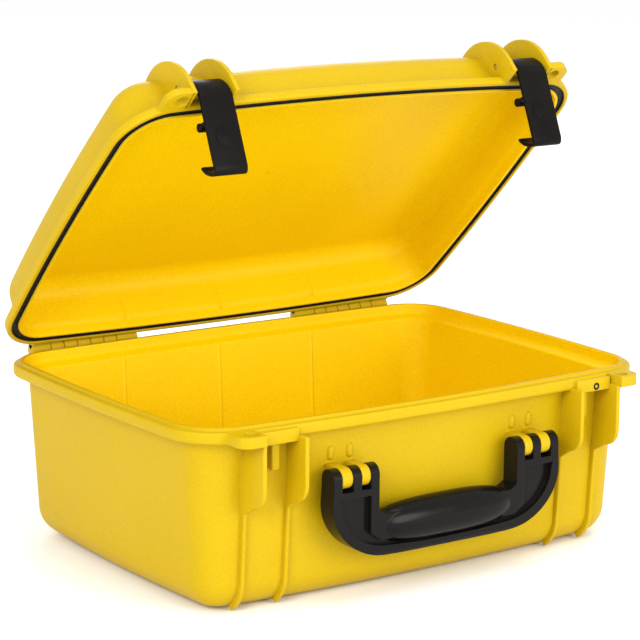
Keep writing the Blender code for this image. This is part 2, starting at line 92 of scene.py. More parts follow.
HINGE_SPANS_X = (0.1516, 0.1370, 0.12654, 0.11608, 0.10562, 0.09516, 0.0847, 0.0676)
KNUCKLE_RADIUS = 0.0043


# Materials


def new_material(name):
    made = bpy.data.materials.new(name)
    made.use_nodes = True
    return made, made.node_tree, made.node_tree.nodes["Principled BSDF"]


def node(tree, kind, **values):
    made = tree.nodes.new(kind)
    for name, value in values.items():
        if name in made.inputs:
            made.inputs[name].default_value = value
        else:
            setattr(made, name, value)
    return made


def noise(tree, scale, detail=2.0, stretch=(1, 1, 1)):
    """A noise in the object's own metres, so it keeps its size and rides with the piece."""
    place = node(tree, "ShaderNodeTexCoord")
    mapping = node(tree, "ShaderNodeMapping")
    mapping.inputs["Scale"].default_value = stretch
    made = node(tree, "ShaderNodeTexNoise", Scale=scale, Detail=detail)
    tree.links.new(place.outputs["Object"], mapping.inputs["Vector"])
    tree.links.new(mapping.outputs["Vector"], made.inputs["Vector"])
    return made.outputs["Fac"]


def ramp(tree, fac, stops):
    made = node(tree, "ShaderNodeValToRGB")
    elements = made.color_ramp.elements
    while len(elements) < len(stops):
        elements.new(0.5)
    for element, (place, colour) in zip(elements, stops):
        element.position = place
        element.color = (*colour, 1)
    tree.links.new(fac, made.inputs["Fac"])
    return made.outputs["Color"]


def mixed(tree, fac, first, second, blend="MIX"):
    """Colour output of a mix. Each of the two colours is a link or three numbers."""
    made = node(tree, "ShaderNodeMix", data_type="RGBA", blend_type=blend)
    sockets = {s.identifier: s for s in made.inputs}
    values = {"Factor_Float": fac, "A_Color": first, "B_Color": second}
    for identifier, value in values.items():
        socket = sockets[identifier]
        if isinstance(value, bpy.types.NodeSocket):
            tree.links.new(value, socket)
        elif isinstance(value, float):
            socket.default_value = value
        else:
            socket.default_value = (*value, 1)
    return [s for s in made.outputs if s.identifier == "Result_Color"][0]


def bump(tree, shader, height, strength, distance, soften=0.0):
    """Bump from a height. Soften also rounds the edges and the joins between parts of one piece."""
    made = node(tree, "ShaderNodeBump", Strength=strength, Distance=distance)
    tree.links.new(height, made.inputs["Height"])
    if soften:
        rounded = node(tree, "ShaderNodeBevel", Radius=soften, samples=6)
        tree.links.new(rounded.outputs["Normal"], made.inputs["Normal"])
    tree.links.new(made.outputs["Normal"], shader.inputs["Normal"])


def moulded_plastic(name, colour, deep, rough, grain, grain_depth, soften=0.0, coat=0.0, shine=0.3,
                    edge_wear_and_highlight=0.28):
    """Moulded plastic: cloudy colour, a fine etched grain and edges painted a little paler, partly as rubbed
    wear and partly as a painted highlight where thin edges catch light.
    """
    made, tree, shader = new_material(name)
    cloud = ramp(tree, noise(tree, 14, 3), [(0.35, deep), (0.65, colour)])
    speck = ramp(tree, noise(tree, grain, 1), [(0.30, (0.90, 0.90, 0.90)), (0.62, (1.0, 1.0, 1.0))])
    tone = mixed(tree, 1.0, cloud, speck, "MULTIPLY")
    # Paler edges from pointiness: partly rubbed wear, partly a painted highlight on the thin edges.
    wear_and_edge_highlight_mask = ramp(tree, node(tree, "ShaderNodeNewGeometry").outputs["Pointiness"],
                [(0.52, (0, 0, 0)), (0.60, (edge_wear_and_highlight, edge_wear_and_highlight, edge_wear_and_highlight))])
    pale = [min(1.0, c * 1.12 + 0.03) for c in colour]
    tree.links.new(mixed(tree, wear_and_edge_highlight_mask, tone, pale), shader.inputs["Base Color"])
    low, high = rough
    gloss = ramp(tree, noise(tree, 55, 4), [(0.3, (low,) * 3), (0.7, (high,) * 3)])
    tree.links.new(gloss, shader.inputs["Roughness"])
    bump(tree, shader, noise(tree, grain, 2), 0.5, grain_depth, soften)
    shader.inputs["Specular IOR Level"].default_value = shine
    shader.inputs["Coat Weight"].default_value = coat
    shader.inputs["Coat Roughness"].default_value = 0.2
    return made


def sealing_rubber(name):
    made, tree, shader = new_material(name)
    dust = ramp(tree, noise(tree, 260, 4), [(0.45, (0.008, 0.0075, 0.007)), (0.75, (0.016, 0.015, 0.014))])
    tree.links.new(dust, shader.inputs["Base Color"])
    tree.links.new(ramp(tree, noise(tree, 120, 2), [(0.3, (0.50,) * 3), (0.7, (0.68,) * 3)]),
                   shader.inputs["Roughness"])
    shader.inputs["Specular IOR Level"].default_value = 0.2
    bump(tree, shader, noise(tree, 1500, 2), 0.4, 0.00008)
    return made


def drawn_steel(name):
    made, tree, shader = new_material(name)
    streak = noise(tree, 2500, 2, (0.02, 1, 1))
    tree.links.new(ramp(tree, streak, [(0.3, (0.46, 0.46, 0.47)), (0.7, (0.66, 0.66, 0.67))]),
                   shader.inputs["Base Color"])
    tree.links.new(ramp(tree, streak, [(0.3, (0.24,) * 3), (0.7, (0.38,) * 3)]), shader.inputs["Roughness"])
    shader.inputs["Metallic"].default_value = 1.0
    bump(tree, shader, streak, 0.25, 0.00002)
    return made


BLACK_TONES = (0.0065, 0.0056, 0.0045), (0.005, 0.0044, 0.0036)
YELLOW = moulded_plastic("yellow_grained", (0.53, 0.352, 0.002), (0.51, 0.338, 0.002), (0.42, 0.52), 1100,
                         0.00010, soften=0.0009, shine=0.12, edge_wear_and_highlight=0.1)
# The inside is the same yellow plastic as the outside, painted much lighter: the two are lit and shaded
# copies, and the inside colour carries painted light for the brighter-lit inside of the case.
YELLOW_INSIDE_PAINTED_LIGHTER = moulded_plastic("yellow_inside", (0.80, 0.54, 0.001), (0.78, 0.52, 0.001), (0.34, 0.44),
                                800, 0.00004, soften=0.0009, shine=0.09, edge_wear_and_highlight=0.1)
BLACK = moulded_plastic("black_gloss", *BLACK_TONES, (0.16, 0.26), 900, 0.00004,
                        soften=0.0006, coat=0.05, shine=0.10, edge_wear_and_highlight=0.03)
LATCH_BLACK = moulded_plastic("black_satin", *BLACK_TONES, (0.30, 0.44), 1300,
                              0.00008, soften=0.0004, shine=0.06, edge_wear_and_highlight=0.05)
VENT_PALE = moulded_plastic("vent_cap", (0.55, 0.46, 0.14), (0.48, 0.40, 0.12), (0.4, 0.5), 1300, 0.00003)
RUBBER = sealing_rubber("seal_rubber")
STEEL = drawn_steel("pin_steel")


# Rings and lofts


def front_line(x, offset):
    """Y of the front wall at x, where the wall stands offset outside the rim line."""
    return -(RIM_HALF_Y + offset + BOW_FRONT * (1 - (x / RIM_HALF_X) ** 2))


def back_line(x, offset):
    return RIM_HALF_Y + offset + BOW_BACK * (1 - (x / RIM_HALF_X) ** 2)


def ring(offset, z, corner_steps=18, side_steps=26):
    """A rounded rectangle with slightly bowed sides, offset outside the rim line."""
    half_x, half_y = RIM_HALF_X + offset, RIM_HALF_Y + offset
    corner = max(RIM_CORNER + offset, MIN_CORNER)
    flat = []
    for quarter, (sx, sy) in enumerate(((1, 1), (-1, 1), (-1, -1), (1, -1))):
        for step in range(corner_steps + 1):
            angle = math.radians(90 * quarter + 90 * step / corner_steps)
            flat.append((sx * (half_x - corner) + corner * math.cos(angle),
                         sy * (half_y - corner) + corner * math.sin(angle)))
    points = []
    for (x0, y0), (x1, y1) in zip(flat, flat[1:] + flat[:1]):
        pieces = side_steps if math.hypot(x1 - x0, y1 - y0) > 0.05 else 1
        for k in range(pieces):
            x, y = x0 + (x1 - x0) * k / pieces, y0 + (y1 - y0) * k / pieces
            bow = BOW_FRONT if y < 0 else BOW_BACK
            points.append(Vector((x + x / half_x * BOW_X * (1 - (y / half_y) ** 2),
                                  y + y / half_y * bow * (1 - (x / half_x) ** 2), z)))
    return points


def eased(points, radius, closed=False, steps=4):
    """The same line with its corners rounded off."""
    points = [Vector(p) for p in points]
    line = []
    for k, p in enumerate(points):
        if not closed and k in (0, len(points) - 1):
            line.append(tuple(p))
            continue
        before, after = points[k - 1] - p, points[(k + 1) % len(points)] - p
        a = p + before.normalized() * min(radius, before.length * 0.48)
        b = p + after.normalized() * min(radius, after.length * 0.48)
        for s in range(steps + 1):
            t = s / steps
            line.append(tuple(a * (1 - t) ** 2 + p * 2 * t * (1 - t) + b * t ** 2))
    return line


def rounding(centre, radius, down, steps=14):
    """(offset, z) points of a quarter round from an upright wall to a flat top or bottom."""
    turn = -1 if down else 1
    angles = (math.pi / 2 * k / steps for k in range(steps + 1))
    return [(centre[0] + radius * math.cos(a), centre[1] + turn * radius * math.sin(a)) for a in angles]


def mesh_from(bm, name):
    bmesh.ops.recalc_face_normals(bm, faces=bm.faces)
    mesh = bpy.data.meshes.new(name)
    bm.to_mesh(mesh)
    bm.free()
    return mesh


def loft(name, profile, inner_from=None, closed=False):
    """Skins the rings of a profile of (offset, z). Faces from inner_from on take the second material."""
    bm = bmesh.new()
    rings = [[bm.verts.new(p) for p in ring(offset, z)] for offset, z in profile]
    pairs = list(enumerate(zip(rings, rings[1:])))
    if closed:
        pairs.append((len(rings) - 1, (rings[-1], rings[0])))
    else:
        bm.faces.new(rings[0])
        bm.faces.new(rings[-1]).material_index = int(inner_from is not None)
    for k, (low, high) in pairs:
        for a, b, c, d in zip(low, low[1:] + low[:1], high[1:] + high[:1], high):
            bm.faces.new((a, b, c, d)).material_index = int(inner_from is not None and k >= inner_from)
    return mesh_from(bm, name)


# Shapes from outlines

PLANES = {
    "YZ": Matrix(((0, 0, 1), (1, 0, 0), (0, 1, 0))).to_4x4(),
    "XZ": Matrix(((1, 0, 0), (0, 0, -1), (0, 1, 0))).to_4x4(),
    "XY": Matrix.Identity(4),
}


def baked(obj):
    """The object's mesh with its modifiers applied, and the object gone."""
    bpy.context.view_layer.update()
    mesh = bpy.data.meshes.new_from_object(obj.evaluated_get(bpy.context.evaluated_depsgraph_get()))
    bpy.data.objects.remove(obj)
    return mesh


def scratch(name, data):
    obj = bpy.data.objects.new(name, data)
    bpy.context.scene.collection.objects.link(obj)
    return obj


def rounded_edges(mesh, width, segments=3, angle=35):
    obj = scratch("rounded", mesh)
    step = obj.modifiers.new("edges", "BEVEL")
    step.width = width
    step.segments = segments
    step.limit_method = "ANGLE"
    step.angle_limit = math.radians(angle)
    step.use_clamp_overlap = True
    return baked(obj)


def extruded(outlines, low, high, plane, edge=0.0):
    """A filled outline in the plane, from low to high along the third axis. More outlines are holes."""
    curve = bpy.data.curves.new("outline", "CURVE")
    curve.dimensions = "2D"
    curve.fill_mode = "BOTH"
    curve.extrude = (high - low) / 2
    for outline in outlines:
        spline = curve.splines.new("POLY")
        spline.points.add(len(outline) - 1)
        for point, (u, v) in zip(spline.points, outline):
            point.co = (u, v, 0, 1)
        spline.use_cyclic_u = True
    mesh = baked(scratch("outline", curve))
    third = Vector((0, 0, (low + high) / 2))
    if plane == "XZ":
        third.z = -third.z
    mesh.transform(PLANES[plane] @ Matrix.Translation(third))
    bm = bmesh.new()
    bm.from_mesh(mesh)
    bmesh.ops.remove_doubles(bm, verts=bm.verts, dist=1e-6)
    bmesh.ops.dissolve_limit(bm, angle_limit=math.radians(0.5), verts=bm.verts, edges=bm.edges)
    mesh = mesh_from(bm, "extruded")
    return rounded_edges(mesh, edge) if edge else mesh


def arc(centre, radius, start, end, steps):
    turns = (math.radians(start + (end - start) * k / steps) for k in range(steps + 1))
    return [(centre[0] + radius * math.cos(t), centre[1] + radius * math.sin(t)) for t in turns]


def ribbon(middle, widths):
    """The outline of a bent strip, from its middle line and its width at each point."""
    near, far = [], []
    for k, (u, v) in enumerate(middle):
        before, after = middle[max(k - 1, 0)], middle[min(k + 1, len(middle) - 1)]
        along = Vector((after[0] - before[0], after[1] - before[1])).normalized()
        across = Vector((-along.y, along.x)) * widths[k] / 2
        near.append((u + across.x, v + across.y))
        far.append((u - across.x, v - across.y))
    return near + far[::-1]


def box(low, high, edge):
    bm = bmesh.new()
    bmesh.ops.create_cube(bm, size=1)
    size, middle = Vector(high) - Vector(low), (Vector(high) + Vector(low)) / 2
    bmesh.ops.transform(bm, matrix=Matrix.Translation(middle) @ Matrix.Diagonal((*size, 1)), verts=bm.verts)
    return rounded_edges(mesh_from(bm, "box"), edge)


def rod(radius, low, high, centre, axis="X", edge=0.0003, sides=40):
    """A round bar along X, Y or Z with its ends rounded off."""
    bm = bmesh.new()
    bmesh.ops.create_cone(bm, cap_ends=True, segments=sides, radius1=radius, radius2=radius, depth=high - low)
    turn = {"X": Matrix.Rotation(math.pi / 2, 4, "Y"), "Y": Matrix.Rotation(math.pi / 2, 4, "X"),
            "Z": Matrix.Identity(4)}[axis]
    middle = (low + high) / 2
    place = {"X": (middle, *centre), "Y": (centre[0], middle, centre[1]), "Z": (*centre, middle)}[axis]
    bmesh.ops.transform(bm, matrix=Matrix.Translation(place) @ turn, verts=bm.verts)
    return rounded_edges(mesh_from(bm, "rod"), edge, angle=50)


def ball(middle, size, segments=24):
    bm = bmesh.new()
    bmesh.ops.create_uvsphere(bm, u_segments=segments, v_segments=segments // 2, radius=1)
    bmesh.ops.transform(bm, matrix=Matrix.Translation(middle) @ Matrix.Diagonal((*size, 1)), verts=bm.verts)
    return mesh_from(bm, "ball")


def capsule(foot, top, radius):
    """A round-ended bar between two points, for moulded ridges that sink into a wall."""
    bm = bmesh.new()
    bmesh.ops.create_uvsphere(bm, u_segments=16, v_segments=12, radius=radius)
    span = Vector(top) - Vector(foot)
    for vert in bm.verts:
        vert.co.z += span.length / 2 * (1 if vert.co.z > 0 else -1)
    turn = span.to_track_quat("Z", "Y").to_matrix().to_4x4()
    middle = (Vector(foot) + Vector(top)) / 2
    bmesh.ops.transform(bm, matrix=Matrix.Translation(middle) @ turn, verts=bm.verts)
    return mesh_from(bm, "capsule")


def boolean(mesh, other, operation):
    obj, helper = scratch("kept", mesh), scratch("helper", other)
    step = obj.modifiers.new("cut", "BOOLEAN")
    step.object = helper
    step.operation = operation
    step.solver = "EXACT"
    result = baked(obj)
    bpy.data.objects.remove(helper)
    return result


def joined(meshes):
    """Several shapes as one mesh. A pair (mesh, index) also sets the material of that shape."""
    bm = bmesh.new()
    for item in meshes:
        mesh, index = item if isinstance(item, tuple) else (item, None)
        before = len(bm.faces)
        bm.from_mesh(mesh)
        bm.faces.ensure_lookup_table()
        if index is not None:
            for face in bm.faces[before:]:
                face.material_index = index
    mesh = bpy.data.meshes.new("joined")
    bm.to_mesh(mesh)
    bm.free()
    return mesh


def piece(name, mesh, materials, body, nodes, place=None, sharp=40):
    """A shown piece that rides on a body and stands for CAD nodes."""
    if place:
        mesh.transform(place)
    for material in materials:
        mesh.materials.append(material)
    for face in mesh.polygons:
        face.use_smooth = True
    mesh.set_sharp_from_angle(angle=math.radians(sharp))
    mesh.name = name
    obj = scratch(name, mesh)
    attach(obj, body)
    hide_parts(*nodes)
    return obj


# Base


def wall_offset(z):
    """How far outside the rim line the drafted base wall stands at height z above the underside."""
    top, foot = PARTING_Z - 0.012, BOTTOM_ROUND
    return -DRAFT_TOP - (DRAFT_FOOT - DRAFT_TOP) * (top - z) / (top - foot)


def base_tub():
    top = PARTING_Z
    outer = [(0.0012, 0.0016), (0.0017, 0.0011), (0.0017, -0.0004), (0.0046, -0.0004), (FLANGE_OUT, -0.0013),
             (FLANGE_OUT, -0.0068), (0.0043, -0.0082), (-0.0036, -0.0086), (-DRAFT_TOP, -0.012)]
    inner = [(-0.0012, 0.0016), (-0.0018, 0.0010), (-0.0022, -0.0055), (-DRAFT_TOP - WALL, -0.0085)]
    centre = (-DRAFT_FOOT - BOTTOM_ROUND, BOTTOM_ROUND)
    foot_out, foot_in = (rounding(centre, r, down=True) for r in (BOTTOM_ROUND, BOTTOM_ROUND - WALL))
    rim = [foot_out[0]] + [(o, top + z) for o, z in outer[::-1] + inner] + [foot_in[0]]
    rim_line = eased(rim, 0.0012)
    inner_from = next(k for k, p in enumerate(rim_line) if p[0] < -0.0015 and p[1] > top - 0.001)
    profile = foot_out[:0:-1] + rim_line + foot_in[1:]
    return loft("base_tub", profile, inner_from=len(foot_out) - 1 + inner_from)


def fin_outline(x):
    """Side outline of one fin: a tall blade beside the latch, then a low rib down to a small foot."""
    blade_top = PARTING_Z - 0.0070
    reach = BOTTOM_ROUND + RIB_PROUD
    inside = [(front_line(x, wall_offset(z)) + WALL / 2, z) for z in (blade_top, 0.06, BOTTOM_ROUND)]
    last = math.asin(BOTTOM_ROUND / reach)
    centre = front_line(x, -DRAFT_FOOT) + BOTTOM_ROUND
    foot = [(centre - reach * math.cos(last * k / 12), BOTTOM_ROUND - reach * math.sin(last * k / 12))
            for k in range(13)]
    rib_top = (front_line(x, wall_offset(FIN_FOOT)) - RIB_PROUD, FIN_FOOT - 0.004)
    corner = (FIN_FRONT + BLADE_ROUND, FIN_FOOT + BLADE_ROUND + 0.002)
    blade = [(FIN_FRONT, blade_top), *arc(corner, BLADE_ROUND, 180, 262, 14), rib_top]
    near = BOTTOM_ROUND - WALL / 2
    back = [(centre - near * math.cos(a), BOTTOM_ROUND - near * math.sin(a))
            for a in (math.radians(62), math.radians(30))]
    return blade + foot + back + inside[::-1]


def tab(side, low, high):
    """A padlock tab: a lobe with a round corner that widens the flange outside the outer fin."""
    corner = arc((TAB_SIDE - TAB_CORNER, TAB_FRONT + TAB_CORNER), TAB_CORNER, 270, 360, 16)
    fillet = arc((TAB_SIDE + 0.003, TAB_FRONT + 0.0158), 0.003, 180, 90, 10)
    outline = [(BAY_OUTER, front_line(BAY_OUTER, 0.0036)), (BAY_OUTER, TAB_FRONT), *corner, *fillet]
    outline += [(TAB_SIDE + 0.003, -0.1250), (0.150, front_line(0.150, 0.0036))]
    hole = arc((TAB_X, TAB_Y), TAB_HOLE, 0, 352, 44)
    return extruded([[(side * x, y) for x, y in line] for line in (outline, hole)], low, high, "XY", 0.0006)


def knuckles(of_lid):
    spans = [(low + 0.0003, high - 0.0003) for high, low in zip(HINGE_SPANS_X, HINGE_SPANS_X[1:])]
    z_low, z_high = (0.0004, 0.0058) if of_lid else (-0.0078, -0.0006)
    shapes = []
    for _, side in SIDES:
        for low, high in spans[0::2] if of_lid else spans[1::2]:
            low, high = sorted((side * low, side * high))
            root = back_line(max(abs(low), abs(high)), 0.0035)
            shapes.append(rod(KNUCKLE_RADIUS, low, high, (HINGE_Y, PARTING_Z)))
            shapes.append(box((low, root, PARTING_Z + z_low), (high, HINGE_Y, PARTING_Z + z_high), 0.0003))
    return shapes


def base_details():
    shapes = []
    for _, side in SIDES:
        for x in (BAY_OUTER, BAY_INNER):
            low = side * x - FIN_THICKNESS / 2
            shapes.append(extruded([fin_outline(x)], low, low + FIN_THICKNESS, "YZ", 0.0008))
        middle = side * (BAY_OUTER + BAY_INNER) / 2
        wall = front_line(middle, -DRAFT_TOP) + WALL / 2
        low, high = sorted((side * (BAY_INNER + 0.0012), side * (BAY_OUTER - 0.0012)))
        shapes.append(box((low, KEEPER_FRONT, KEEPER_FOOT), (high, wall, KEEPER_TOP), 0.0008))
        stem = middle - side * STEM_INWARD
        shapes.append(box((stem - STEM_HALF, wall - 0.0085, PARTING_Z - 0.029),
                          (stem + STEM_HALF, wall, KEEPER_FOOT + 0.001), 0.0012))
        shapes.append(tab(side, PARTING_Z - 0.0078, PARTING_Z - 0.0008))
        shapes += handle_lugs(side)
    return shapes + inner_ridges() + knuckles(of_lid=False)


def handle_lugs(side):
    """The two round lugs that hold the handle on one side, each with a small moulded bead above it."""
    shapes = []
    for low_ear, high_ear in zip(HANDLE_EARS, HANDLE_EARS[1:]):
        low, high = low_ear + HANDLE_EAR_HALF + 0.0003, high_ear - HANDLE_EAR_HALF - 0.0003
        lug = HANDLE_RADIUS - 0.0002
        back = front_line(low_ear, wall_offset(HANDLE_Z)) + WALL / 2
        outline = [(back, HANDLE_Z - lug), *arc((HANDLE_Y, HANDLE_Z), lug, 270, 90, 24),
                   (back, HANDLE_Z + lug)]
        shapes.append(extruded([outline], *sorted((side * low, side * high)), "YZ", 0.0006))
        x = side * (low + high) / 2
        foot, top = HANDLE_Z + 0.0112, HANDLE_Z + 0.0158
        shapes.append(capsule((x, front_line(x, wall_offset(foot)) + 0.0006, foot),
                              (x, front_line(x, wall_offset(top)) + 0.0004, top), 0.0024))
    return shapes


def inner_ridges():
    """Low half-round ridges down the inside of the back wall."""
    shapes = []
    for k in (-1, 0, 1):
        x = -0.0087 + 0.0795 * k
        low, high = 0.030, PARTING_Z - 0.0105
        shapes.append((capsule((x, back_line(x, wall_offset(low) - WALL) + 0.0007, low),
                               (x, back_line(x, wall_offset(high) - WALL) + 0.0007, high), 0.0017), 1))
    return shapes


# Lid


def lid_dome():
    top = PARTING_Z
    outer = [(0.0030, 0.0), (0.0047, 0.0), (FLANGE_OUT, 0.0008), (FLANGE_OUT, 0.0052), (0.0045, 0.0062),
             (-0.0012, 0.0064), (-0.0028, 0.0080), (-0.0031, 0.0100)]
    inner = [(0.0024, 0.0), (0.0024, 0.0044), (-0.0024, 0.0044), (-0.0024, 0.0), (-0.0042, 0.0),
             (-0.0048, 0.0008), (-0.0052, 0.0060), (-0.0066, 0.0090)]
    centre = (-0.0049 - LID_ROUND, top + LID_HEIGHT - LID_ROUND)
    crown_out, crown_in = (rounding(centre, r, down=False) for r in (LID_ROUND, LID_ROUND - WALL))
    rim = [crown_out[0]] + [(o, top + z) for o, z in outer[::-1] + inner] + [crown_in[0]]
    rim_line = eased(rim, 0.0009)
    inner_from = next(k for k, p in enumerate(rim_line) if p[0] < -0.0030 and p[1] < top + 0.0005)
    profile = crown_out[:0:-1] + rim_line + crown_in[1:]
    return loft("lid_dome", profile, inner_from=len(crown_out) - 1 + inner_from)


def ear_outline(x):
    """Side outline of one round ear that holds the latch pin in front of the lid wall."""
    wall, z = front_line(x, 0.0), PARTING_Z
    dome = arc((EAR_Y, EAR_Z), EAR_RADIUS, 180, 68, 40)
    into_wall = eased([dome[-2], (dome[-1][0], z + 0.0388), (wall + 0.0148, z + 0.0366),
                       (wall + 0.0088, z + 0.0306), (wall + 0.0067, z + 0.0225), (wall + 0.0055, z + 0.0180),
                       (wall + 0.0048, z + 0.0080), (wall + 0.0040, z + 0.0054)], 0.0015)[1:]
    foot = [(wall - 0.0038, z + 0.0054), (wall - 0.0038, z + 0.0003), (dome[0][0], z + 0.0003)]
    return dome + into_wall + foot


def lid_details():
    shapes = []
    for _, side in SIDES:
        for x in (BAY_OUTER, BAY_INNER):
            low = side * x - FIN_THICKNESS / 2
            bore = arc((LATCH_Y, LATCH_Z), 0.0020, 0, 345, 23)
            shapes.append(extruded([ear_outline(x), bore], low, low + FIN_THICKNESS, "YZ", 0.0004))
        shapes.append(tab(side, PARTING_Z + 0.0003, PARTING_Z + 0.0050))
    for k in (-1, 0, 1):
        x = 0.080 * k
        shapes.append((capsule((x, back_line(x, -0.0066) + 0.0010, PARTING_Z + 0.0070),
                               (x, back_line(x, -0.0080) + 0.0010, PARTING_Z + 0.0200), 0.0014), 1))
    shapes.append((rod(0.0022, PARTING_Z + LID_HEIGHT - WALL - 0.0004, PARTING_Z + LID_HEIGHT - WALL + 0.001,
                       (0.0, 0.0), "Z"), 1))
    return shapes + knuckles(of_lid=True)


def seal_ring():
    """A black channel that lines the rim groove, open below for the tongue of the base."""
    z = PARTING_Z
    lip, wall, floor_z = z + 0.0009, 0.00235, z + 0.0018
    half = [(wall, lip), (wall, z + 0.0042), (0.0020, z + 0.00435)]
    bore = wall - 0.0004
    inside = [(-bore, lip), (-bore, floor_z), (bore, floor_z), (bore, lip)]
    return loft("seal", half + [(-o, h) for o, h in half[::-1]] + inside, closed=True)


# Latches


def latch(middle):
    """One latch hanging straight down from its pin: neck, flat plate, inner hook and curled finger end."""
    y, z = LATCH_Y, LATCH_Z
    sheet, foot_z = 0.0024, z - 0.0605
    face = y - 0.0167 + sheet / 2
    strip = [(y, z + 0.0033), (y - 0.0052, z + 0.0024), (y - 0.0098, z - 0.0004), (y - 0.0134, z - 0.0046),
             (face, z - 0.0100), (face, z - 0.0300), (face, foot_z + 0.0040),
             (face + 0.0013, foot_z + 0.0014),
             (y - 0.0105, foot_z + 0.0020), (y - 0.0045, foot_z + 0.0050), (y - 0.0006, foot_z + 0.0092)]
    widths = [sheet] * 9 + [0.0025, 0.0025]
    low, high = middle - LATCH_HALF, middle + LATCH_HALF
    outline = eased(ribbon(strip, widths), 0.0022, closed=True, steps=4)
    bulb = (y - 0.0072, z - 0.0276)
    stem = ribbon([(face + 0.0004, bulb[1] + 0.0012), (bulb[0], bulb[1] + 0.0003)], [0.0026, 0.0022])
    shapes = [extruded([outline], low, high, "YZ", 0.0005), rod(0.0045, low, high, (y, z), edge=0.0005),
              extruded([stem], low + 0.0003, high - 0.0003, "YZ", 0.0002),
              rod(0.0029, low + 0.0002, high - 0.0002, bulb, edge=0.0005)]
    front = face - sheet / 2
    boss_z = z - 0.0365
    for radius, proud in ((0.0068, 0.0006), (0.0052, 0.0009), (0.0022, 0.0012)):
        shapes.append(rod(radius, front - proud, front + 0.0008, (middle, boss_z), "Y", edge=0.0002,
                          sides=64))
    return joined(shapes)


# Handle


def handle_side_line(rail):
    """Front outline of the lower right of the handle, rail inside its outer edge, from the middle upwards."""
    foot = HANDLE_FOOT + rail
    bar = [(0.0, foot), (0.022, foot + 0.0003), (0.045, foot + 0.0015)]
    elbow_x, elbow_z = 0.0458 - rail, 0.0375 - rail
    return bar + [(0.045 + elbow_x * math.sin(math.radians(3.75 * k)),
                   foot + 0.0015 + elbow_z * (1 - math.cos(math.radians(3.75 * k)))) for k in range(1, 25)]


def mirrored(right):
    return right + [(-x, z) for x, z in right[-2:0:-1]]


def handle_bail():
    outer, inner = HANDLE_EARS[-1] + HANDLE_EAR_HALF, HANDLE_EARS[0] - HANDLE_EAR_HALF
    top = HANDLE_Z + HANDLE_RADIUS
    arm = [(outer, HANDLE_Z - 0.004), (outer, top), (inner, top), (inner, GRIP_Z + 0.012),
           (inner - 0.005, GRIP_Z + 0.009), (0.0, GRIP_Z + 0.008)]
    y, z, r = HANDLE_Y, HANDLE_Z, HANDLE_RADIUS
    bail = extruded([mirrored(handle_side_line(0.0) + arm)], y - r, y + r, "XZ")
    side_view = arc((y, z), r, 0, 180, 28) + eased(
        [(y - r, z), (y - r, HANDLE_FOOT), (y + r, HANDLE_FOOT), (y + r, z)], 0.006, steps=8)[1:-1]
    reach = outer + 0.02
    bail = boolean(bail, extruded([side_view], -reach, reach, "YZ"), "INTERSECT")
    cuts = []
    for _, side in SIDES:
        for low_ear, high_ear in zip(HANDLE_EARS, HANDLE_EARS[1:]):
            low, high = sorted((side * (low_ear + HANDLE_EAR_HALF),
                                side * (high_ear - HANDLE_EAR_HALF)))
            slot = [(y - 0.02, z - r - 0.0012), (y + 0.02, z - r - 0.0012),
                    (y + 0.02, z + 0.02), (y - 0.02, z + 0.02)]
            cuts.append(extruded([slot], low, high, "YZ"))
    shelf, rib = z - r - 0.0055, HANDLE_EARS[0] + HANDLE_EAR_HALF
    pocket = [p for p in handle_side_line(0.0065) if p[1] < shelf]
    pocket += [(HANDLE_EARS[-1] - 0.0012, shelf), (rib, shelf),
               (rib, GRIP_Z - 0.002), (rib - 0.008, GRIP_Z - 0.008),
               (0.0, HANDLE_FOOT + 0.016)]
    for front in (y - r - 0.001, y + r - 0.0040):
        cuts.append(extruded([mirrored(pocket)], front, front + 0.0050, "XZ"))
    bail = boolean(bail, joined(cuts), "DIFFERENCE")
    return rounded_edges(bail, 0.0013, segments=4, angle=30)


def grip():
    """A long ball filled out towards its ends, which swells from the bar between the arms."""
    bm = bmesh.new()
    bmesh.ops.create_uvsphere(bm, u_segments=48, v_segments=64, radius=1)
    bmesh.ops.transform(bm, matrix=Matrix.Rotation(math.pi / 2, 4, "Y"), verts=bm.verts)
    for vert in bm.verts:
        along = min(abs(vert.co.x), 0.999)
        fullness = (1 - along ** 3) ** (1 / 3) / math.sqrt(1 - along ** 2)
        vert.co.y *= fullness
        vert.co.z *= fullness
    place = Matrix.Translation((0, HANDLE_Y, GRIP_Z)) @ Matrix.Diagonal((*GRIP_SIZE, 1))
    bmesh.ops.transform(bm, matrix=place, verts=bm.verts)
    return mesh_from(bm, "grip")


# Pins and vent


def pin_along(node_name, inset=0.0):
    """A drawn pin in the place of its node, with rounded ends that stop a little short at each side."""
    low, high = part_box(node_name)
    return rod((high.z - low.z) / 2, low.x + inset, high.x - inset,
               ((low.y + high.y) / 2, (low.z + high.z) / 2), edge=0.0003, sides=32)


def vent_ring():
    low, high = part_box("vent_seal")
    centre, front = ((low.x + high.x) / 2, (low.z + high.z) / 2), low.y
    bm = bmesh.new()
    major, minor = 0.0018, 0.0010
    turns, sides = 40, 14
    rings = []
    for k in range(turns):
        a = 2 * math.pi * k / turns
        rings.append([bm.verts.new((centre[0] + (major + minor * math.cos(b)) * math.cos(a),
                                    front + minor - minor * math.sin(b),
                                    centre[1] + (major + minor * math.cos(b)) * math.sin(a)))
                      for b in (2 * math.pi * s / sides for s in range(sides))])
    for here, after in zip(rings, rings[1:] + rings[:1]):
        for a, b, c, d in zip(here, here[1:] + here[:1], after[1:] + after[:1], after):
            bm.faces.new((a, b, c, d))
    return mesh_from(bm, "vent_ring")


def vent_cap():
    low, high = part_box("vent_plug")
    centre = (low + high) / 2
    return joined([rod(0.0007, low.y + 0.0006, high.y, (centre.x, centre.z), "Y", edge=0.0002),
                   ball((centre.x, low.y + 0.0008, centre.z), (0.0007, 0.0005, 0.0007))])


# Assembly


